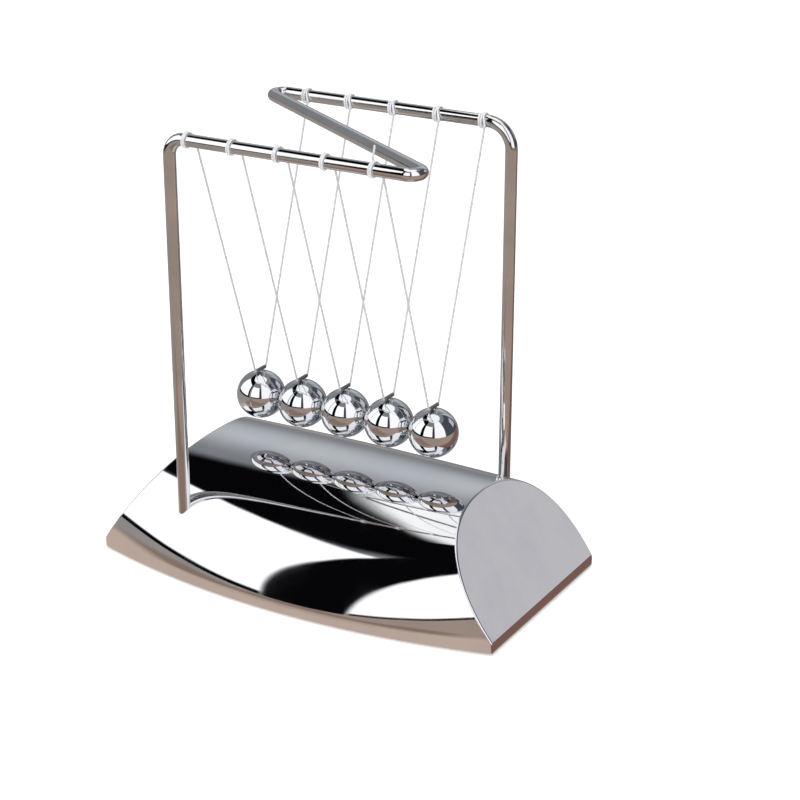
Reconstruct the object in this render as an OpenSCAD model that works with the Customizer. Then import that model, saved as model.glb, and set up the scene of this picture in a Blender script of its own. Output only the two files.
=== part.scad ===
// Newton's cradle: five steel balls on nylon lines under a bent chromed rod,
// on an arched chromed base. X runs along the row of balls, Y across it,
// Z is up, and the origin is on the table below the middle of the base.

/* [Base] */
// Length of the base along the row of balls
base_len = 185; // [170:1:200]
// Depth of the base at its middle
base_depth = 115; // [110:1:125]
// Depth of the base at its two ends
end_depth = 88.4; // [86:0.1:96]
// Height of the ridge above the table
base_h = 45.5; // [43:0.1:47]
// Height of the top of the upright skirt above the table
skirt_top = 5; // [4.6:0.1:6]
// How far each end face leans in between the skirt and the ridge
end_lean = 29; // [24:0.5:32]
// Angle of its arc at which the arch leaves the skirt, at the middle of the base
arc_start_mid = 15; // [10:1:18]
// The same angle at the two ends of the base
arc_start_end = 5; // [2:1:8]
// Fullness of the arch's shoulders, where 1 is a plain arc of an ellipse
shoulder = 1.12; // [1:0.02:1.2]
// Wall thickness of the plated shell
wall = 2.4; // [2:0.1:2.8]

/* [Frame rod] */
// Diameter of the bent rod
rod_d = 5; // [4.6:0.1:5.4]
// Height of the centre line of the two rails above the table
rail_z = 182.7; // [176:0.1:190]
// Distance of each rail from the middle plane
rail_y = 42.2; // [40:0.1:43]
// Distance of each leg from the middle along the row
leg_x = 51.6; // [51:0.1:54]
// Furthest reach of the rod's centre line at the two sharp corners
corner_x = 56.5; // [55:0.1:60]
// Centre-line radius of the two sharp corners
corner_r = 4; // [3.5:0.1:6]
// Centre-line radius of the bend above the front leg
front_bend_r = 7; // [6:0.5:9]
// Centre-line radius of the bend above the back leg
back_bend_r = 10.5; // [6:0.5:11]

/* [Balls] */
// Diameter of one ball
ball_d = 20.3; // [19.8:0.1:20.4]
// Gap between two balls at rest
ball_gap = 0.3; // [0.2:0.05:0.4]
// Height of the ball centres above the table
ball_z = 65.4; // [60:0.1:70]
// Length of the small tube on top of each ball
hanger_len = 6.6; // [5:0.1:8]
// Diameter of the nylon line
line_d = 0.8; // [0.6:0.05:0.8]

/* [Hidden] */

round_fn = 48;
small_fn = 24;
over = 1;

// Base shell: arches on an upright skirt, narrower at the ends.
rim_z = 0.6;
bulge = (base_depth - end_depth) / 2;
half_len = base_len / 2;
arch_h = base_h - skirt_top;
end_slope = end_lean / arch_h;
end_wall = wall * sqrt(1 + end_slope * end_slope);
span_steps = 24;
arch_steps = 28;
cavity_span_steps = 16;
cavity_arch_steps = 20;

// Bottom cover and its screws.
cover_z = 2;
cover_t = 2;
cover_gap = 0.3;
cover_top = cover_z + cover_t;
cover_boss_x = 58;
cover_boss_y = 22;
cover_boss_d = 7;
cover_screw_len = 12;

// Screws are plain M3 pan heads.
screw_d = 2.9;
screw_hole_d = 3;
screw_pass_d = 3.4;
head_d = 5.5;
cover_head_h = 1.1;
head_h = 2.2;

// Ballast plate.
ballast_len = 90;
ballast_depth = 76;
ballast_t = 6;
ballast_z = 9;
ballast_corner_r = 6;
ballast_screw_x = 30;
ballast_screw_len = 14;
ballast_boss_d = 8;

// Rod sockets moulded into the shell, and the screw up into each leg.
socket_d = 9;
socket_gap = 0.1;
socket_floor_z = 8;
leg_end_z = 11;
leg_tap_depth = 9;
rod_screw_len = 10;
washer_d = 7;
washer_t = 0.8;

// Rubber feet under the cover.
foot_d = 12;
foot_x = 72;
foot_y = 26;

// Each bend is a hair thicker than the straights, which run a little way into it.
bend_swell = 0.02;
bend_overlap = 0.05;

// The sharp corners of the rod, where the diagonal meets each rail.
arc_x = corner_x - corner_r;
arc_y = rail_y - corner_r;
diagonal_angle = acos(corner_r / norm([arc_x, arc_y])) - atan2(arc_x, arc_y);
diagonal_x = arc_x + corner_r * sin(diagonal_angle);
diagonal_y = -arc_y + corner_r * cos(diagonal_angle);

// Balls, their hangers and the lines.
ball_r = ball_d / 2;
pitch = ball_d + ball_gap;
hanger_d = 1.6;
hanger_bore_d = 1;
hanger_lift = 0.9;
hanger_z = ball_z + ball_r + hanger_lift;
stem_d = 1.2;
stem_depth = 3;
line_out = 0.5;
line_bend_y = hanger_len / 2 + line_out;

// The swing axis of each ball lies just inside and below the two rails.
axis_in = 3.3;
axis_down = 1.6;
axis_y = rail_y - axis_in;
axis_z = rail_z - axis_down;
pin_d = 0.9;
eye_bore_d = 1;
eye_d = 2;
eye_len = 1;
eye_neck = 0.75;
strand_swell = 0.1;
pin_start = 2.3;
stop_d = 1.6;
stop_start = 3.86;
stop_end = 4.25;
turn_gap = 0.03;
turn_r = rod_d / 2 + line_d / 2 + turn_gap;
turn_at = [-2.45, -1.6];
lead_in = 1.9;
lead_angle = atan2(axis_down, lead_in);

function ball_x(i) = (i - 3) * pitch;

// Half depth of a base of half length hl at x, with middle half depth hd.
function plan_y(x, hd) = hd - bulge * pow(x / half_len, 2);

// Angle of the arc at which the arch leaves the skirt.
function arc_start(share) = arc_start_end + (arc_start_mid - arc_start_end) * (1 - share * share);

// How far up the arch is at angle a of an arc that starts at a0: 0 at the skirt, 1 at the ridge.
function rise_at(a, a0) = 1 - pow(max(0, 1 - (sin(a) - sin(a0)) / (1 - sin(a0))), shoulder);

// One ring of the arch: points from the front foot over the ridge to the back foot.
// share runs from -1 at the left end face to 1 at the right one.
function arch_ring(share, hl, hd, top, foot, low, steps) = concat(
    [[share * hl, -plan_y(share * hl, hd), low]],
    [for (k = [0:steps])
        let (a0 = arc_start(share), a = a0 + (180 - 2 * a0) * k / steps,
             rise = rise_at(a, a0), x = share * (hl - end_lean * rise))
        [x, -plan_y(x, hd) * cos(a) / cos(a0), foot + (top - foot) * rise]],
    [[share * hl, plan_y(share * hl, hd), low]]
);

// Closed arch solid made of rings along the length.
module arch_solid(hl, hd, top, foot, low, spans, steps) {
    rings = [for (s = [0:spans]) arch_ring(2 * s / spans - 1, hl, hd, top, foot, low, steps)];
    n = steps + 3;
    points = [for (ring = rings) each ring];
    sides = [for (s = [0:spans - 1], k = [0:n - 1])
        let (a = s * n + k, b = s * n + (k + 1) % n)
        each [[a, b, b + n], [a, b + n, a + n]]];
    last = spans * n;
    // Each end is a flat upright strip below and a flat leaning arch above.
    ends = [[n - 1, n - 2, 1, 0], [for (k = [n - 2:-1:1]) k],
            [last, last + 1, last + n - 2, last + n - 1], [for (k = [1:n - 2]) last + k]];
    polyhedron(points, concat(sides, ends), convexity = 4);
}

module base_outer() {
    arch_solid(half_len, base_depth / 2, base_h, skirt_top, rim_z, span_steps, arch_steps);
}

module base_cavity() {
    arch_solid(half_len - end_wall, base_depth / 2 - wall, base_h - wall, skirt_top,
               rim_z - over, cavity_span_steps, cavity_arch_steps);
}

module at_legs() {
    for (s = [-1, 1]) translate([s * leg_x, s * rail_y, 0]) children();
}

module at_cover_bosses() {
    for (sx = [-1, 1], sy = [-1, 1])
        translate([sx * cover_boss_x, sy * cover_boss_y, 0]) children();
}

module at_ballast_screws() {
    for (s = [-1, 1]) translate([s * ballast_screw_x, 0, 0]) children();
}

module upright(d, z0, z1) {
    translate([0, 0, z0]) cylinder(d = d, h = z1 - z0, $fn = round_fn);
}

module base_shell() {
    color("silver") difference() {
        union() {
            difference() {
                base_outer();
                base_cavity();
            }
            intersection() {
                base_outer();
                union() {
                    at_legs() upright(socket_d, socket_floor_z, base_h);
                    at_cover_bosses() upright(cover_boss_d, cover_top, base_h);
                    at_ballast_screws() upright(ballast_boss_d, ballast_z + ballast_t, base_h);
                }
            }
        }
        at_legs() {
            upright(rod_d + 2 * socket_gap, leg_end_z, base_h);
            upright(screw_pass_d, socket_floor_z - over, leg_end_z + over);
        }
        at_cover_bosses() upright(screw_hole_d, cover_top - over, cover_z + cover_screw_len + over);
        at_ballast_screws()
            upright(screw_hole_d, ballast_z, ballast_z + ballast_screw_len + over);
    }
}

// Outline of the cover: the plan of the cavity, less a small gap.
module cover_outline() {
    hl = half_len - end_wall - cover_gap;
    hd = base_depth / 2 - wall - cover_gap;
    steps = 20;
    front = [for (k = [0:steps]) let (x = hl * (2 * k / steps - 1)) [x, -plan_y(x, hd)]];
    back = [for (k = [0:steps]) let (x = hl * (1 - 2 * k / steps)) [x, plan_y(x, hd)]];
    polygon(concat(front, back));
}

module bottom_cover() {
    color("dimgray") difference() {
        translate([0, 0, cover_z]) linear_extrude(cover_t) cover_outline();
        at_cover_bosses() upright(screw_pass_d, cover_z - over, cover_top + over);
    }
}

module ballast_plate() {
    color("gray") difference() {
        translate([0, 0, ballast_z]) union() {
            for (sx = [-1, 1], sy = [-1, 1])
                translate([sx * (ballast_len / 2 - ballast_corner_r),
                           sy * (ballast_depth / 2 - ballast_corner_r), 0])
                    cylinder(r = ballast_corner_r, h = ballast_t, $fn = round_fn);
            translate([-ballast_len / 2, ballast_corner_r - ballast_depth / 2, 0])
                cube([ballast_len, ballast_depth - 2 * ballast_corner_r, ballast_t]);
            translate([ballast_corner_r - ballast_len / 2, -ballast_depth / 2, 0])
                cube([ballast_len - 2 * ballast_corner_r, ballast_depth, ballast_t]);
        }
        at_ballast_screws() upright(screw_pass_d, ballast_z - over, ballast_z + ballast_t + over);
    }
}

// A screw pointing up, with the underside of its head seat at z = 0.
module screw(length, head) {
    upright(screw_d, 0, length);
    upright(head_d, -head, 0);
}

module cover_screws() {
    color("silver") at_cover_bosses() translate([0, 0, cover_z])
        screw(cover_screw_len, cover_head_h);
}

module ballast_screws() {
    color("silver") at_ballast_screws() translate([0, 0, ballast_z])
        screw(ballast_screw_len, head_h);
}

module rod_screws() {
    color("silver") at_legs() translate([0, 0, socket_floor_z - washer_t])
        screw(rod_screw_len, head_h);
}

module rod_washers() {
    color("silver") at_legs() difference() {
        upright(washer_d, socket_floor_z - washer_t, socket_floor_z);
        upright(screw_pass_d, socket_floor_z - washer_t - over, socket_floor_z + over);
    }
}

module rubber_foot(i) {
    sx = i % 2 == 1 ? -1 : 1;
    sy = i <= 2 ? -1 : 1;
    color("dimgray") translate([sx * foot_x, sy * foot_y, 0]) upright(foot_d, 0, cover_z);
}

// A length of rod along X from x0 to x1, run on into the bend at each end.
module rod_along_x(x0, x1) {
    translate([x0 - bend_overlap, 0, 0]) rotate([0, 90, 0])
        cylinder(d = rod_d, h = x1 - x0 + 2 * bend_overlap, $fn = round_fn);
}

// A flat bend about Z, from angle a0 through sweep degrees.
module rod_bend(r, a0, sweep) {
    rotate([0, 0, a0]) rotate_extrude(angle = sweep, $fn = 2 * round_fn)
        translate([r, 0]) circle(d = rod_d + bend_swell, $fn = round_fn);
}

// One leg, its bend, its rail and the sharp corner, as on the front half.
module rod_half(bend_r) {
    translate([-leg_x, -rail_y, 0])
        upright(rod_d, leg_end_z, rail_z - bend_r + bend_overlap);
    translate([bend_r - leg_x, -rail_y, rail_z - bend_r]) rotate([90, 0, 0])
        rod_bend(bend_r, 90, 90);
    translate([0, -rail_y, rail_z]) rod_along_x(bend_r - leg_x, arc_x);
    translate([arc_x, -arc_y, rail_z]) rod_bend(corner_r, -90, 180 - diagonal_angle);
}

module frame_rod() {
    reach = norm([diagonal_x, diagonal_y]);
    color("silver") difference() {
        union() {
            rod_half(front_bend_r);
            rotate([0, 0, 180]) rod_half(back_bend_r);
            translate([0, 0, rail_z]) rotate([0, 0, -diagonal_angle]) rod_along_x(-reach, reach);
        }
        at_legs() upright(screw_hole_d, leg_end_z - over, leg_end_z + leg_tap_depth);
    }
}

module ball(i) {
    color("silver") difference() {
        translate([ball_x(i), 0, ball_z]) sphere(d = ball_d, $fn = 2 * round_fn);
        translate([ball_x(i), 0, 0]) upright(stem_d, ball_z + ball_r - stem_depth, ball_z + ball_d);
    }
}

module along_y(d, y0, y1) {
    translate([0, y0, 0]) rotate([-90, 0, 0]) cylinder(d = d, h = y1 - y0, $fn = small_fn);
}

module hanger(i) {
    color("dimgray") translate([ball_x(i), 0, hanger_z]) difference() {
        union() {
            along_y(hanger_d, -hanger_len / 2, hanger_len / 2);
            upright(stem_d, ball_z + ball_r - stem_depth - hanger_z, 0);
        }
        along_y(hanger_bore_d, -hanger_len, hanger_len);
    }
}

// A straight strand of line in the YZ plane from a to b, each [y, z].
module strand(a, b) {
    run = b - a;
    translate([0, a[0], a[1]]) rotate([atan2(-run[0], run[1]), 0, 0])
        cylinder(d = line_d, h = norm(run), $fn = small_fn);
}

// The small swell where two strands meet at p, given as [y, z].
module swell(p) {
    translate([0, p[0], p[1]]) sphere(d = line_d + strand_swell, $fn = small_fn);
}

// The front run of a line, from the hanger up to the eye on the swing axis.
module line_run() {
    foot = [-line_bend_y, hanger_z];
    top = [-axis_y, axis_z - eye_neck];
    strand(foot, top);
    swell(foot);
    swell(top);
    translate([0, -axis_y, axis_z]) along_y(eye_d, -eye_len / 2, eye_len / 2);
}

module line(i) {
    color("gainsboro") translate([ball_x(i), 0, 0]) difference() {
        union() {
            line_run();
            mirror([0, 1, 0]) line_run();
            translate([0, 0, hanger_z]) along_y(line_d, -line_bend_y, line_bend_y);
        }
        translate([0, 0, axis_z]) along_y(eye_bore_d, -rail_y, rail_y);
    }
}

// The turns of line round the front rail, their lead to the swing axis, and the
// fixed pin there that the eye of the line swings on.
module hitch() {
    translate([0, -rail_y, rail_z]) {
        for (x = turn_at) translate([x, 0, 0]) rotate([0, 90, 0])
            rotate_extrude($fn = round_fn) translate([turn_r, 0]) circle(d = line_d, $fn = small_fn);
        translate([turn_at[0], turn_r * cos(lead_angle), -turn_r * sin(lead_angle)])
            rotate([0, 90, 0]) cylinder(d = line_d, h = line_d / 2 - turn_at[0], $fn = small_fn);
        translate([0, 0, -axis_down]) {
            along_y(pin_d, pin_start, stop_end);
            along_y(stop_d, stop_start, stop_end);
        }
    }
}

module front_hitch(i) {
    color("whitesmoke") translate([ball_x(i), 0, 0]) hitch();
}

module back_hitch(i) {
    color("whitesmoke") translate([ball_x(i), 0, 0]) mirror([0, 1, 0]) hitch();
}

base_shell();
bottom_cover();
ballast_plate();
frame_rod();
cover_screws();
ballast_screws();
rod_screws();
rod_washers();
for (i = [1:4]) rubber_foot(i);
for (i = [1:5]) ball(i);
for (i = [1:5]) hanger(i);
for (i = [1:5]) line(i);
for (i = [1:5]) front_hitch(i);
for (i = [1:5]) back_hitch(i);
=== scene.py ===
import math

import bpy
from mathutils import Matrix, Vector


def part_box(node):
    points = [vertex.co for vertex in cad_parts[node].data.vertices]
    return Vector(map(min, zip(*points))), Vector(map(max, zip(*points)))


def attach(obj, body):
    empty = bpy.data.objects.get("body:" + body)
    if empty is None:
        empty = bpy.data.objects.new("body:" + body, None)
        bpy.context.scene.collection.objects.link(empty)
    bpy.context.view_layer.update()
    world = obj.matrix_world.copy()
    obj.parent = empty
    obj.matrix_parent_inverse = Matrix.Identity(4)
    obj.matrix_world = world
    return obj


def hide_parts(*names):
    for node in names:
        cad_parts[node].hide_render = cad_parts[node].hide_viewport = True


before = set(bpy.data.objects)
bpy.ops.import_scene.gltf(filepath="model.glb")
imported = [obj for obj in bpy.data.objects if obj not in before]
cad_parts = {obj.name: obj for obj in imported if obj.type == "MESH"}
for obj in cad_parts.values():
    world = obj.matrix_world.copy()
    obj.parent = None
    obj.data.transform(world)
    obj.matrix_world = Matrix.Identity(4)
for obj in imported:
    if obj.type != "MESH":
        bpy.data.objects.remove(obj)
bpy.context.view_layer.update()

MM = 0.001
BALLS = range(1, 6)
FEET = range(1, 5)

# Base shell, in millimetres, with the CAD's shape. The arc starts and EDGE_ANGLE,
# past which an edge is rounded, are in degrees.
HALF_LEN = 92.5
HALF_DEPTH = 57.5
BULGE = 13.3
BASE_TOP = 45.5
SKIRT_TOP = 5.0
RIM = 0.6
END_LEAN = 29.0
WALL = 2.4
ARC_START_MID = 15.0
ARC_START_END = 5.0
SHOULDER = 1.12
END_WALL = WALL * math.hypot(1.0, END_LEAN / (BASE_TOP - SKIRT_TOP))
EDGE_ROUND = 0.7
EDGE_ANGLE = 33.0
EDGE_STEPS = 4

# Frame rod: its radius and its middle line, in millimetres. LEG_END is the height of
# its ends, and CORNER_X is how far the corners of the diagonal reach.
ROD_R = 2.5
LEG_X = 51.6
RAIL_Y = 42.2
RAIL_Z = 182.7
LEG_END = 11.0
FRONT_BEND = 7.0
BACK_BEND = 10.5
CORNER_R = 4.0
CORNER_X = 56.5

# Lines and hangers, in millimetres. A swing point is PIVOT_IN and PIVOT_DOWN from the
# middle of its rail. STEM_START is how far under the tube's middle the stem starts.
LINE_R = 0.4
LINE_BEND = 0.65
LINE_PAST_TUBE = 0.5
PIVOT_IN = 3.3
PIVOT_DOWN = 1.6
HANGER_LEN = 6.6
HANGER_R = 0.8
HANGER_BORE = 0.5
HANGER_EDGE = 0.16
HANGER_SHARP_ANGLE = math.radians(40)
STEM_R = 0.6
STEM_START = 0.48
STEM_IN_BALL = 0.6
COLLAR_TOP = 0.3

# Turns of line round a rail: places along the rail from the ball's middle and radii in
# millimetres, and angles round it in degrees. The first of the turns starts END_LIFT
# further out, and is down on the rail after END_LIFT_SHARE of their length. LOOSE_TIP
# is the tip of the loose end on the last front hitch, as (along, radius, angle), and
# LOOSE_STEP leads from each of its points to the next.
TURN_R = ROD_R + LINE_R + 0.01
TURNS = 2.0
TURNS_FROM = -2.95
TURNS_TO = -1.25
TURNS_LEAVE = 60.0
END_LIFT = 0.35
END_LIFT_SHARE = 1 / 6
LOOSE_POINTS = 5
LOOSE_TIP = (-2.45, 8.4, 78.0)
LOOSE_STEP = (-0.15, -1.1, -2.0)
KNOT_SWELL = (0.03, 0.09, 0.14)

# Balls, in millimetres. BALL_COLLAR is (radius, height past the ball's radius), and
# the angles are those from the top where the ball's own profile starts and ends.
BALL_COLLAR = ((0.80, COLLAR_TOP), (0.95, 0.22), (1.12, 0.05), (1.45, -0.085))
BALL_START = 9.0
BALL_END = 179.4

# Feet, in millimetres. DISH_SIDE is (in from the foot's side, up from its underside).
FOOT_TOP_EDGE = 0.3
FOOT_ROUND = 0.6
DISH_SIDE = ((1.3, 0.0), (1.8, 0.25))
DISH_DEPTH = 0.3
CENTRE_R = 0.05


# ---------------------------------------------------------------- mesh tools

# Degrees up the dome that closes an end of a tube. It stops short of the pole.
DOME_ANGLES = (30, 60, 85)


def add_mesh(name, verts, faces, material, smooth=True):
    """A mesh object from vertices in millimetres."""
    mesh = bpy.data.meshes.new(name)
    mesh.from_pydata([tuple(c * MM for c in v) for v in verts], [], faces)
    mesh.validate()
    if smooth:
        mesh.shade_smooth()
    else:
        mesh.shade_flat()
    mesh.materials.append(material)
    obj = bpy.data.objects.new(name, mesh)
    bpy.context.scene.collection.objects.link(obj)
    return obj


def ring_faces(rings, sides):
    """Quads that join successive closed rings of vertices."""
    faces = []
    for r in range(rings - 1):
        a = r * sides
        for k in range(sides):
            n = (k + 1) % sides
            faces.append((a + k, a + n, a + sides + n, a + sides + k))
    return faces


def first_ring(sides):
    """A face over the first ring."""
    return tuple(range(sides))


def last_ring(verts, sides):
    """A face over the last ring."""
    return tuple(range(len(verts) - sides, len(verts)))


def turned_over(faces):
    """The same faces seen from the other side."""
    return [tuple(reversed(face)) for face in faces]


def swept_tube(path, radii, sides):
    """Vertices and faces of a round tube along a path, closed at both ends by a dome."""
    points = [Vector(p) for p in path]
    tangents = []
    for k in range(len(points)):
        ahead = points[min(k + 1, len(points) - 1)]
        behind = points[max(k - 1, 0)]
        tangents.append((ahead - behind).normalized())
    dome = [(math.sin(a), math.cos(a)) for a in (math.radians(d) for d in DOME_ANGLES)]
    stations = []
    for out, size in reversed(dome):
        stations.append((points[0] - tangents[0] * radii[0] * out, tangents[0], radii[0] * size))
    stations += zip(points, tangents, radii)
    for out, size in dome:
        stations.append((points[-1] + tangents[-1] * radii[-1] * out, tangents[-1], radii[-1] * size))
    verts = []
    last = tangents[0]
    normal = last.orthogonal().normalized()
    for p, t, r in stations:
        normal = last.rotation_difference(t) @ normal
        normal = (normal - t * normal.dot(t)).normalized()
        side = t.cross(normal)
        last = t
        for k in range(sides):
            a = math.tau * k / sides
            verts.append(tuple(p + (normal * math.cos(a) + side * math.sin(a)) * r))
    faces = ring_faces(len(stations), sides)
    faces += turned_over([first_ring(sides)])
    faces.append(last_ring(verts, sides))
    return verts, faces


def lathe(profile, sides, centre, axis="Z"):
    """Vertices and faces of a profile of (radius, height) turned about an axis."""
    verts = []
    for r, h in profile:
        for k in range(sides):
            a = math.tau * k / sides
            u, v = r * math.cos(a), r * math.sin(a)
            local = (u, v, h) if axis == "Z" else (v, h, u)
            verts.append(tuple(c + o for c, o in zip(centre, local)))
    return verts, ring_faces(len(profile), sides)


def joined(*parts):
    """Several (verts, faces) pairs as one."""
    verts, faces = [], []
    for v, f in parts:
        shift = len(verts)
        verts += v
        faces += [tuple(i + shift for i in face) for face in f]
    return verts, faces


def rounded_path(corners, radii, step):
    """A path with each inner corner rounded to its radius, in steps of these degrees."""
    corners = [Vector(c) for c in corners]
    path = [corners[0]]
    for k in range(1, len(corners) - 1):
        here = corners[k]
        back = (corners[k - 1] - here).normalized()
        ahead = (corners[k + 1] - here).normalized()
        turn = math.pi - back.angle(ahead)
        reach = radii[k - 1] * math.tan(turn / 2)
        middle = here + (back + ahead).normalized() * (radii[k - 1] / math.cos(turn / 2))
        start = here + back * reach - middle
        axis = back.cross(ahead).normalized()
        count = max(3, math.ceil(math.degrees(turn) / step))
        for j in range(count + 1):
            path.append(middle + Matrix.Rotation(-turn * j / count, 3, axis) @ start)
    path.append(corners[-1])
    return path


def spaced(path, gap):
    """The same path with long stretches cut into shorter ones."""
    out = [path[0]]
    for a, b in zip(path, path[1:]):
        parts = max(1, math.ceil((b - a).length / gap))
        for k in range(1, parts + 1):
            out.append(a.lerp(b, k / parts))
    return out


# ----------------------------------------------------------------- materials

class Nodes:
    """Short calls for building one material's nodes."""

    def __init__(self, name):
        self.material = bpy.data.materials.new(name)
        self.material.use_nodes = True
        self.tree = self.material.node_tree
        self.shader = self.tree.nodes["Principled BSDF"]
        self.coords = self.tree.nodes.new("ShaderNodeTexCoord").outputs["Object"]

    def link(self, output, socket):
        self.tree.links.new(output, socket)

    def stretched(self, scale):
        """The object's coordinates, scaled by axis."""
        node = self.tree.nodes.new("ShaderNodeMapping")
        node.inputs["Scale"].default_value = scale
        self.link(self.coords, node.inputs["Vector"])
        return node.outputs["Vector"]

    def noise(self, scale, detail=2.0, vector=None):
        node = self.tree.nodes.new("ShaderNodeTexNoise")
        node.inputs["Scale"].default_value = scale
        node.inputs["Detail"].default_value = detail
        self.link(vector or self.coords, node.inputs["Vector"])
        return node.outputs["Fac"]

    def ranged(self, value, low, high, start, end):
        """value from low..high mapped to start..end, held at the ends."""
        node = self.tree.nodes.new("ShaderNodeMapRange")
        node.inputs["From Min"].default_value = low
        node.inputs["From Max"].default_value = high
        node.inputs["To Min"].default_value = start
        node.inputs["To Max"].default_value = end
        self.link(value, node.inputs["Value"])
        return node.outputs["Result"]

    def added(self, first, second):
        node = self.tree.nodes.new("ShaderNodeMath")
        node.operation = "ADD"
        self.link(first, node.inputs[0])
        self.link(second, node.inputs[1])
        return node.outputs["Value"]

    def blend(self, factor, first, second):
        node = self.tree.nodes.new("ShaderNodeMix")
        node.data_type = "RGBA"
        self.link(factor, node.inputs["Factor"])
        node.inputs["A"].default_value = (*first, 1.0)
        node.inputs["B"].default_value = (*second, 1.0)
        return node.outputs["Result"]

    def surface(self, colour, roughness, height, depth):
        """Joins a colour, a roughness and a bump of this depth in metres to the shader."""
        bump = self.tree.nodes.new("ShaderNodeBump")
        bump.inputs["Distance"].default_value = depth
        self.link(height, bump.inputs["Height"])
        self.link(colour, self.shader.inputs["Base Color"])
        self.link(roughness, self.shader.inputs["Roughness"])
        self.link(bump.outputs["Normal"], self.shader.inputs["Normal"])

    def set(self, **values):
        """Sets the shader's own sockets, with _ for each space in a name."""
        for name, value in values.items():
            self.shader.inputs[name.replace("_", " ")].default_value = value


def polished(name, bright, dull, smooth, worn, wave_scale, wave, hairline):
    """Bright plated metal with faint waves, hairline marks and a little haze."""
    n = Nodes(name)
    n.set(Metallic=1.0)
    haze = n.noise(55.0, 4.0)
    tint = n.blend(n.ranged(haze, 0.4, 0.72, 0.0, 1.0), bright, dull)
    fine = n.noise(900.0, 2.0, n.stretched((1.0, 7.0, 1.0)))
    marks = n.ranged(fine, 0.62, 0.72, 0.0, hairline)
    roughness = n.added(n.ranged(haze, 0.35, 0.7, smooth, worn), marks)
    n.surface(tint, roughness, n.noise(wave_scale, 1.0), wave)
    return n.material


def moulded(name, dark, light, smooth, rough, grain_scale, grain):
    """Plain plastic, rubber or iron with a fine grain and soft colour variation."""
    n = Nodes(name)
    tint = n.blend(n.noise(40.0, 3.0), dark, light)
    roughness = n.ranged(n.noise(120.0), 0.3, 0.7, smooth, rough)
    n.surface(tint, roughness, n.noise(grain_scale, 3.0), grain)
    return n.material


def nylon(name, dark, light):
    """Slightly milky nylon line with faint streaks."""
    n = Nodes(name)
    n.set(IOR=1.53, Transmission_Weight=0.2)
    tint = n.blend(n.noise(120.0), dark, light)
    roughness = n.ranged(n.noise(400.0), 0.3, 0.7, 0.22, 0.38)
    n.surface(tint, roughness, n.noise(1500.0), 0.00002)
    return n.material


ROD_CHROME = polished(
    "rod_chrome", bright=(0.80, 0.79, 0.78), dull=(0.70, 0.69, 0.69), smooth=0.05, worn=0.09,
    wave_scale=130.0, wave=0.00002, hairline=0.06)
BASE_CHROME = polished(
    "base_chrome", bright=(0.80, 0.80, 0.81), dull=(0.74, 0.74, 0.76), smooth=0.015, worn=0.05,
    wave_scale=38.0, wave=0.00005, hairline=0.03)
BALL_STEEL = polished(
    "ball_steel", bright=(0.80, 0.81, 0.83), dull=(0.70, 0.71, 0.73), smooth=0.02, worn=0.05,
    wave_scale=90.0, wave=0.00001, hairline=0.03)
HANGER_STEEL = polished(
    "hanger_steel", bright=(0.34, 0.34, 0.35), dull=(0.24, 0.24, 0.25), smooth=0.28, worn=0.42,
    wave_scale=900.0, wave=0.00001, hairline=0.1)
SCREW_STEEL = polished(
    "zinc_steel", bright=(0.60, 0.60, 0.62), dull=(0.45, 0.45, 0.47), smooth=0.25, worn=0.4,
    wave_scale=700.0, wave=0.00001, hairline=0.1)
CAST_IRON = moulded(
    "cast_iron", dark=(0.10, 0.10, 0.105), light=(0.16, 0.155, 0.15), smooth=0.55, rough=0.75,
    grain_scale=900.0, grain=0.00012)
COVER_BLACK = moulded(
    "cover_plastic", dark=(0.018, 0.018, 0.019), light=(0.03, 0.03, 0.031), smooth=0.42, rough=0.58,
    grain_scale=1600.0, grain=0.00003)
FOOT_RUBBER = moulded(
    "foot_rubber", dark=(0.02, 0.02, 0.02), light=(0.045, 0.043, 0.042), smooth=0.7, rough=0.88,
    grain_scale=2200.0, grain=0.00004)
NYLON = nylon("nylon", dark=(0.64, 0.63, 0.64), light=(0.74, 0.73, 0.74))
NYLON_TURNS = nylon("nylon_turns", dark=(0.86, 0.87, 0.88), light=(0.96, 0.96, 0.97))


# --------------------------------------------------------------- base shell

def half_width(x, middle):
    """Half depth of the plan at x, for a shell with this half depth in the middle."""
    return middle - BULGE * (x / HALF_LEN) ** 2


def rise_at(angle, start):
    """How far up the arch is at this angle of its arc: 0 at the skirt, 1 at the ridge."""
    left = 1.0 - (math.sin(angle) - math.sin(start)) / (1.0 - math.sin(start))
    return 1.0 - max(0.0, left) ** SHOULDER


def arch_grid(length, middle, top, spans, steps):
    """Rings of points from the front foot over the ridge to the back foot."""
    rings = []
    for s in range(spans + 1):
        share = 2.0 * s / spans - 1.0
        foot = share * length
        start = math.radians(ARC_START_END + (ARC_START_MID - ARC_START_END) * (1.0 - share * share))
        ring = [(foot, -half_width(foot, middle), RIM)]
        for k in range(steps + 1):
            a = start + (math.pi - 2.0 * start) * k / steps
            rise = rise_at(a, start)
            x = share * (length - END_LEAN * rise)
            y = -half_width(x, middle) * math.cos(a) / math.cos(start)
            ring.append((x, y, SKIRT_TOP + (top - SKIRT_TOP) * rise))
        ring.append((foot, half_width(foot, middle), RIM))
        rings.append(ring)
    return rings


def end_faces(start, n, shift):
    """The faces of one end: skirt and arch, outside and inside, and the rim between them."""
    skirt = (start, start + n - 1, start + n - 2, start + 1)
    arch = tuple(start + k for k in range(n - 2, 0, -1))
    rim = (start, start + shift, start + n - 1 + shift, start + n - 1)
    faces = []
    for face in (skirt, arch):
        faces.append(face)
        faces.append(tuple(i + shift for i in reversed(face)))
    faces.append(rim)
    return faces


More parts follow.
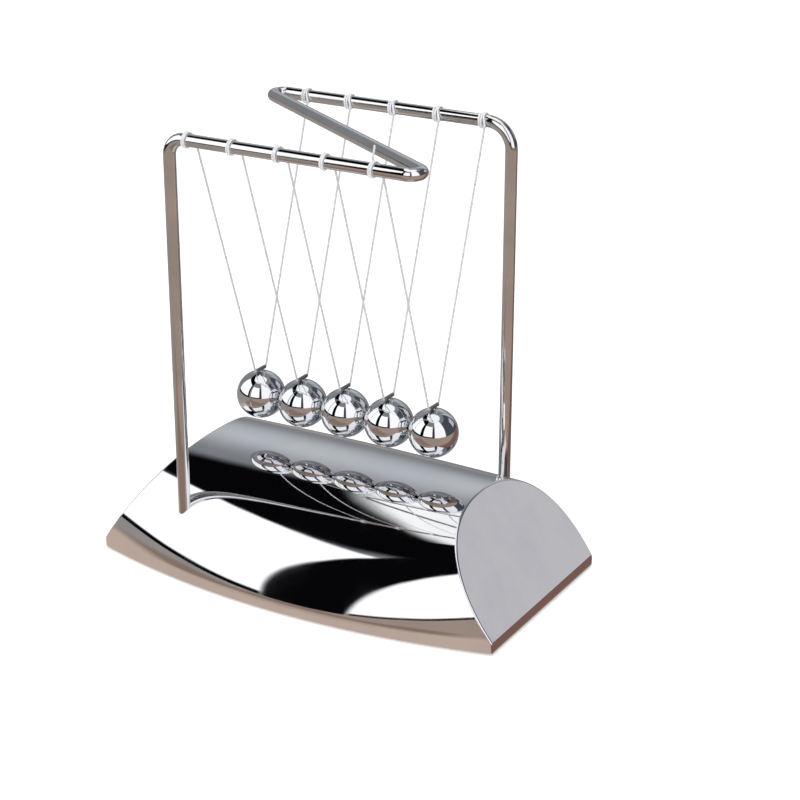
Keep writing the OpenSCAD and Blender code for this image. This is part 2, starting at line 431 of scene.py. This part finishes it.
def base_skin(spans=96, steps=120):
    """The plated shell: outer and inner arch joined round the rim."""
    outer = arch_grid(HALF_LEN, HALF_DEPTH, BASE_TOP, spans, steps)
    inner = arch_grid(HALF_LEN - END_WALL, HALF_DEPTH - WALL, BASE_TOP - WALL, spans, steps)
    verts = [p for ring in outer + inner for p in ring]
    n = steps + 3
    shift = (spans + 1) * n
    faces = []
    for s in range(spans):
        for k in range(n - 1):
            a = s * n + k
            faces.append((a, a + 1, a + n + 1, a + n))
            faces.append((a + shift, a + n + shift, a + n + 1 + shift, a + 1 + shift))
        front = s * n
        back = front + n - 1
        faces.append((front, front + n, front + n + shift, front + shift))
        faces.append((back + shift, back + n + shift, back + n, back))
    faces += end_faces(0, n, shift)
    faces += turned_over(end_faces(spans * n, n, shift))
    obj = add_mesh("base_skin", verts, faces, BASE_CHROME)
    bevel = obj.modifiers.new("edge_round", "BEVEL")
    bevel.width = EDGE_ROUND * MM
    bevel.segments = EDGE_STEPS
    bevel.limit_method = "ANGLE"
    bevel.angle_limit = math.radians(EDGE_ANGLE)
    bevel.harden_normals = True
    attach(obj, "stand")
    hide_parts("base_shell")


# ---------------------------------------------------------------- frame rod

def rod_skin():
    """The bent rod as one smooth sweep from the front leg to the back leg."""
    bend_x = CORNER_X - CORNER_R
    bend_y = RAIL_Y - CORNER_R
    lean = math.acos(CORNER_R / math.hypot(bend_x, bend_y)) - math.atan2(bend_x, bend_y)
    corner = RAIL_Y / math.tan(lean)
    front = [(-LEG_X, -RAIL_Y, LEG_END), (-LEG_X, -RAIL_Y, RAIL_Z), (corner, -RAIL_Y, RAIL_Z)]
    back = [(-corner, RAIL_Y, RAIL_Z), (LEG_X, RAIL_Y, RAIL_Z), (LEG_X, RAIL_Y, LEG_END)]
    bends = [FRONT_BEND, CORNER_R, CORNER_R, BACK_BEND]
    path = spaced(rounded_path(front + back, bends, step=4.0), gap=6.0)
    verts, faces = swept_tube(path, [ROD_R] * len(path), sides=64)
    obj = add_mesh("rod_skin", verts, faces, ROD_CHROME)
    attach(obj, "stand")
    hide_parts("frame_rod")


# --------------------------------------------------------------- pendulums

def middle_of(node):
    """Centre of a CAD node's box, in millimetres."""
    low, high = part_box(node)
    return [(a + b) / 2 / MM for a, b in zip(low, high)]


def top_of(node):
    """Height of a CAD node's box, in millimetres."""
    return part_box(node)[1][2] / MM


def ball_skin(i, sides=128, rings=88):
    """A ball with a small collar at the top, where the stem of its hanger goes in."""
    centre = middle_of(f"ball_{i}")
    low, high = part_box(f"ball_{i}")
    radius = (high[2] - low[2]) / 2 / MM
    profile = [(r, radius + over) for r, over in BALL_COLLAR]
    for k in range(rings):
        a = math.radians(BALL_START + (BALL_END - BALL_START) * k / (rings - 1))
        profile.append((radius * math.sin(a), radius * math.cos(a)))
    verts, faces = lathe(profile, sides, centre)
    faces.append(first_ring(sides))
    faces += turned_over([last_ring(verts, sides)])
    obj = add_mesh(f"ball_skin_{i}", verts, turned_over(faces), BALL_STEEL)
    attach(obj, f"pendulum_{i}")
    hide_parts(f"ball_{i}")


def hanger_skin(i, tube_sides=40, stem_sides=32):
    """The small cross tube with chamfered ends, and the stem that joins it to the ball."""
    tube_z = top_of(f"hanger_{i}") - HANGER_R
    centre = (middle_of(f"hanger_{i}")[0], 0.0, tube_z)
    half = HANGER_LEN / 2
    chamfered = half - HANGER_EDGE
    inner = HANGER_BORE + HANGER_EDGE
    outer = HANGER_R - HANGER_EDGE
    tube = lathe([(HANGER_BORE, -chamfered), (inner, -half), (outer, -half), (HANGER_R, -chamfered),
                  (HANGER_R, chamfered), (outer, half), (inner, half), (HANGER_BORE, chamfered),
                  (HANGER_BORE, -chamfered)], tube_sides, centre, "Y")
    ball_top = top_of(f"ball_{i}") - tube_z
    heights = (-STEM_START, ball_top + COLLAR_TOP, ball_top - STEM_IN_BALL)
    stem = lathe([(STEM_R, height) for height in heights], stem_sides, centre)
    stem[1].append(last_ring(stem[0], stem_sides))
    verts, faces = joined(tube, stem)
    obj = add_mesh(f"hanger_skin_{i}", verts, faces, HANGER_STEEL)
    obj.data.set_sharp_from_angle(angle=HANGER_SHARP_ANGLE)
    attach(obj, f"pendulum_{i}")
    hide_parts(f"hanger_{i}")


def line_skin(i):
    """One line, from the front swing point through the hanger to the back one."""
    x = middle_of(f"hanger_{i}")[0]
    tube_z = top_of(f"hanger_{i}") - HANGER_R
    top_y = RAIL_Y - PIVOT_IN
    top_z = RAIL_Z - PIVOT_DOWN
    foot = HANGER_LEN / 2 + LINE_PAST_TUBE
    corners = [(x, -top_y, top_z), (x, -foot, tube_z), (x, foot, tube_z), (x, top_y, top_z)]
    path = spaced(rounded_path(corners, [LINE_BEND, LINE_BEND], step=9.0), gap=9.0)
    verts, faces = swept_tube(path, [LINE_R] * len(path), sides=20)
    obj = add_mesh(f"line_skin_{i}", verts, faces, NYLON)
    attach(obj, f"pendulum_{i}")
    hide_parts(f"line_{i}")


def hitch_skin(i, front, turn_steps=64, lead_steps=14):
    """Turns of line round the rail, the lead to the swing point and the knot there."""
    x = middle_of(f"hanger_{i}")[0]
    side = 1.0 if front else -1.0
    turns_start = TURNS_LEAVE + 360.0 * TURNS
    pivot_r = math.hypot(PIVOT_IN, PIVOT_DOWN)
    pivot_angle = -math.degrees(math.atan2(PIVOT_DOWN, PIVOT_IN))

    def on_rail(across, radius, angle):
        a = math.radians(angle)
        y = side * (radius * math.cos(a) - RAIL_Y)
        return (x + across, y, RAIL_Z + radius * math.sin(a))

    path = []
    if front and i == BALLS[-1]:
        for k in range(LOOSE_POINTS):
            path.append(on_rail(*(tip + step * k for tip, step in zip(LOOSE_TIP, LOOSE_STEP))))
    for k in range(turn_steps + 1):
        t = k / turn_steps
        across = TURNS_FROM + (TURNS_TO - TURNS_FROM) * t
        lift = END_LIFT * max(0.0, 1.0 - t / END_LIFT_SHARE)
        path.append(on_rail(across, TURN_R + lift, turns_start + (TURNS_LEAVE - turns_start) * t))
    for k in range(1, lead_steps + 1):
        t = k / lead_steps
        across = TURNS_TO * (1.0 - t * t * (3.0 - 2.0 * t))
        radius = TURN_R + (pivot_r - TURN_R) * t ** 3
        path.append(on_rail(across, radius, TURNS_LEAVE + (pivot_angle - TURNS_LEAVE) * t))
    radii = [LINE_R] * (len(path) - len(KNOT_SWELL))
    radii += [LINE_R + swell for swell in KNOT_SWELL]
    verts, faces = swept_tube(path, radii, sides=16)
    name = "front" if front else "back"
    obj = add_mesh(f"{name}_hitch_skin_{i}", verts, faces, NYLON_TURNS)
    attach(obj, "stand")
    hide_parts(f"{name}_hitch_{i}")


# -------------------------------------------------------------- under parts

def foot_skin(i, sides=64, round_steps=6):
    """A rubber foot with a rounded edge and a shallow dish in its underside."""
    low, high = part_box(f"rubber_foot_{i}")
    x, y = middle_of(f"rubber_foot_{i}")[:2]
    radius = (high[0] - low[0]) / 2 / MM
    height = (high[2] - low[2]) / MM
    profile = [(CENTRE_R, height), (radius - FOOT_TOP_EDGE, height), (radius, height - FOOT_TOP_EDGE)]
    for k in range(round_steps + 1):
        a = math.pi / 2 * k / round_steps
        out = radius - FOOT_ROUND + FOOT_ROUND * math.cos(a)
        profile.append((out, FOOT_ROUND - FOOT_ROUND * math.sin(a)))
    profile += [(radius - inward, up) for inward, up in DISH_SIDE]
    profile.append((CENTRE_R, DISH_DEPTH))
    verts, faces = lathe(profile, sides, (x, y, low[2] / MM))
    faces.append(first_ring(sides))
    faces += turned_over([last_ring(verts, sides)])
    obj = add_mesh(f"foot_skin_{i}", verts, turned_over(faces), FOOT_RUBBER)
    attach(obj, "stand")
    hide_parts(f"rubber_foot_{i}")


def paint(node, material):
    """Gives a carried-over CAD node its material."""
    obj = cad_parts[node]
    obj.data.materials.clear()
    obj.data.materials.append(material)


base_skin()
rod_skin()
for number in BALLS:
    ball_skin(number)
    hanger_skin(number)
    line_skin(number)
    hitch_skin(number, True)
    hitch_skin(number, False)
for number in FEET:
    foot_skin(number)
paint("bottom_cover", COVER_BLACK)
paint("ballast_plate", CAST_IRON)
for metal_part in ("cover_screws", "ballast_screws", "rod_screws", "rod_washers"):
    paint(metal_part, SCREW_STEEL)


# ---------------------------------------------------------------- the studio

# Panes of the room that the chrome mirrors: (azimuth from, to, elevation from,
# to, azimuth that the pane's wall faces, softness, colour). Azimuth 0 is in
# front, 90 is to the right. The elevations are those in the middle of the wall,
# whose level edges drop to either side; without a wall they hold all round.
# Each pane lies over those before it.
ROOM = (0.235, 0.25, 0.265)
BLACK = (0.002, 0.002, 0.003)
WINDOW = (1.35, 1.37, 1.38)
CEILING = (1.15, 1.17, 1.17)
BACK_WALL = (0.56, 0.59, 0.62)
PANES = (
    (-180, 180, -95, -3, None, 2, (0.26, 0.22, 0.20)),
    (-150, -18, 49, 95, None, 5, BLACK),
    (-180, -132, 14, 36, None, 24, BACK_WALL),
    (165, 180, 14, 36, None, 24, BACK_WALL),
    (88, 166, -5, 52, None, 5, (0.07, 0.08, 0.10)),
    (-180, 180, 67, 95, None, 4, CEILING),
    (-143, -58, 66, 180, -75, 2, CEILING),
    (-90, -32, -4, 50.5, -62, 1.5, WINDOW),
    (-32, -17, -8, 62, None, 1.5, BLACK),
    (-17, 24, -4, 46, None, 1.5, WINDOW),
    (25, 34, -12, 44, None, 2, (0.05, 0.05, 0.06)),
    (36, 86, -4, 67, None, 3, (1.25, 1.22, 1.30)),
    (138, 159, 8, 30, None, 2, (0.60, 0.59, 0.62)),
    (-92, -32, -8, 2, None, 1.5, BLACK),
    (-17, 34, -6, 1, None, 1, (0.03, 0.03, 0.03)),
)

# Tones of the table top that the chrome mirrors, over its own colour: (azimuth,
# metres from the middle where the tone starts, where it is full, colour). Each
# lies over those before it.
TABLE = (0.98, 0.80, 0.69)
TABLE_TONES = (
    (0, 0.066, 0.085, (0.42, 0.30, 0.235)),
    (180, 0.03, 0.07, (0.34, 0.355, 0.37)),
    (-90, 0.12, 0.16, (0.52, 0.50, 0.49)),
    (90, 0.0932, 0.0942, (0.30, 0.145, 0.105)),
    (52, 0.112, 0.118, (0.62, 0.49, 0.41)),
)


def towards(tree, vector, azimuth):
    """How far a vector goes, on the level, towards this azimuth in degrees."""
    angle = math.radians(azimuth)
    node = tree.nodes.new("ShaderNodeVectorMath")
    node.operation = "DOT_PRODUCT"
    node.inputs[1].default_value = (math.sin(angle), -math.cos(angle), 0.0)
    tree.links.new(vector, node.inputs[0])
    return node.outputs["Value"]


def plain(tree, colour):
    """A colour to lay others over."""
    output = tree.nodes.new("ShaderNodeRGB").outputs[0]
    output.default_value = (*colour, 1.0)
    return output


def laid_over(tree, under, mask, colour):
    """The colours so far, with this colour laid over them where the mask is 1."""
    node = tree.nodes.new("ShaderNodeMix")
    node.data_type = "RGBA"
    node.inputs["B"].default_value = (*colour, 1.0)
    tree.links.new(mask, node.inputs["Factor"])
    tree.links.new(under, node.inputs["A"])
    return node.outputs["Result"]


def room_colour(tree):
    """The colour of the room in each direction."""
    direction = tree.nodes.new("ShaderNodeTexCoord").outputs["Generated"]
    split = tree.nodes.new("ShaderNodeSeparateXYZ")
    tree.links.new(direction, split.inputs[0])
    up = split.outputs["Z"]

    def maths(operation, *values):
        node = tree.nodes.new("ShaderNodeMath")
        node.operation = operation
        for socket, value in zip(node.inputs, values):
            tree.links.new(value, socket)
        return node.outputs[0]

    def between(value, low, high, soft):
        """1 between two angles in degrees and 0 outside them, with soft edges."""
        edges = []
        for at, before, after in ((low, 0.0, 1.0), (high, 1.0, 0.0)):
            node = tree.nodes.new("ShaderNodeMapRange")
            node.interpolation_type = "SMOOTHSTEP"
            node.inputs["From Min"].default_value = math.radians(at - soft / 2)
            node.inputs["From Max"].default_value = math.radians(at + soft / 2)
            node.inputs["To Min"].default_value = before
            node.inputs["To Max"].default_value = after
            tree.links.new(value, node.inputs["Value"])
            edges.append(node.outputs["Result"])
        return maths("MULTIPLY", *edges)

    azimuth = maths("ARCTAN2", towards(tree, direction, 90), towards(tree, direction, 0))
    elevation = maths("ARCSINE", up)
    colour = plain(tree, ROOM)
    for az_from, az_to, el_from, el_to, wall, soft, tint in PANES:
        height = elevation
        if wall is not None:
            height = maths("ARCTAN2", up, towards(tree, direction, wall))
        mask = between(height, el_from, el_to, soft)
        if az_to - az_from < 360:
            mask = maths("MULTIPLY", mask, between(azimuth, az_from, az_to, soft))
        colour = laid_over(tree, colour, mask, tint)
    return colour


def studio_world():
    """A pale backdrop for the camera, and a plain room with windows for everything else."""
    world = bpy.data.worlds.new("studio")
    bpy.context.scene.world = world
    world.use_nodes = True
    tree = world.node_tree
    tree.nodes.clear()
    room = tree.nodes.new("ShaderNodeBackground")
    tree.links.new(room_colour(tree), room.inputs["Color"])
    backdrop = tree.nodes.new("ShaderNodeBackground")
    backdrop.inputs["Color"].default_value = (1.0, 1.0, 1.0, 1.0)
    rays = tree.nodes.new("ShaderNodeLightPath")
    both = tree.nodes.new("ShaderNodeMixShader")
    tree.links.new(rays.outputs["Is Camera Ray"], both.inputs[0])
    tree.links.new(room.outputs[0], both.inputs[1])
    tree.links.new(backdrop.outputs[0], both.inputs[2])
    out = tree.nodes.new("ShaderNodeOutputWorld")
    tree.links.new(both.outputs[0], out.inputs[0])


def floor_disc(name, radius, colour, glow, height, sides=96):
    """A round matt floor with a faint glow of its own. Sizes in millimetres."""
    n = Nodes(name)
    mottled = tuple(c * 0.985 for c in colour)
    n.link(n.blend(n.noise(3.0), colour, mottled), n.shader.inputs["Base Color"])
    n.set(Roughness=0.9, Specular_IOR_Level=0.1)
    n.set(Emission_Color=(1.0, 1.0, 1.0, 1.0), Emission_Strength=glow)
    verts, _ = lathe([(radius, height)], sides, (0.0, 0.0, 0.0))
    obj = add_mesh(name, verts, [first_ring(sides)], n.material, smooth=False)
    return obj


def table_tones(material):
    """Gives the table top its tones, each fading in along a direction on it."""
    tree = material.node_tree
    place = tree.nodes.new("ShaderNodeTexCoord").outputs["Object"]
    colour = plain(tree, TABLE)
    for azimuth, start, full, tone in TABLE_TONES:
        mask = tree.nodes.new("ShaderNodeMapRange")
        mask.inputs["From Min"].default_value = start
        mask.inputs["From Max"].default_value = full
        tree.links.new(towards(tree, place, azimuth), mask.inputs["Value"])
        colour = laid_over(tree, colour, mask.outputs["Result"], tone)
    tree.links.new(colour, tree.nodes["Principled BSDF"].inputs["Base Color"])


def mirrored_only(obj):
    """The object shows in the chrome and nowhere else."""
    obj.visible_camera = False
    obj.visible_diffuse = False
    obj.visible_shadow = False
    obj.visible_transmission = False


def soft_light(name, place, size, power, aim):
    """A large soft light that chrome doesn't mirror."""
    data = bpy.data.lights.new(name, "AREA")
    data.size = size
    data.energy = power
    obj = bpy.data.objects.new(name, data)
    obj.location = place
    obj.rotation_euler = (Vector(aim) - Vector(place)).to_track_quat("-Z", "Y").to_euler()
    obj.visible_glossy = False
    bpy.context.scene.collection.objects.link(obj)


def camera():
    """The photograph's viewpoint, fitted to the rod, the balls and the base."""
    azimuth, elevation, roll = math.radians(30.345), math.radians(21.906), math.radians(0.07)
    target = Vector((25.78, 0.0, 76.14)) * MM
    distance = 796.9 * MM
    back = Vector((math.sin(azimuth) * math.cos(elevation),
                   -math.cos(azimuth) * math.cos(elevation), math.sin(elevation)))
    data = bpy.data.cameras.new("camera")
    data.lens = 89.87
    data.sensor_width = 36.0
    data.clip_start = 0.01
    data.clip_end = 50.0
    obj = bpy.data.objects.new("camera", data)
    obj.location = target + back * distance
    turn = back.to_track_quat("Z", "Y").to_matrix() @ Matrix.Rotation(roll, 3, "Z")
    obj.rotation_euler = turn.to_euler()
    bpy.context.scene.collection.objects.link(obj)
    bpy.context.scene.camera = obj


studio_world()
pale_floor = floor_disc("pale_floor", radius=4000.0, colour=(0.86, 0.86, 0.86), glow=0.35, height=0.0)
pale_floor.visible_glossy = False
table_top = floor_disc("table_top", radius=900.0, colour=TABLE, glow=0.04, height=-0.05)
table_tones(table_top.data.materials[0])
mirrored_only(table_top)
soft_light("overhead", place=(0.0, 0.0, 1.6), size=1.6, power=14.0, aim=(0.0, 0.0, 0.05))
camera()

bpy.context.scene.view_settings.view_transform = "Standard"
bpy.context.scene.view_settings.look = "None"
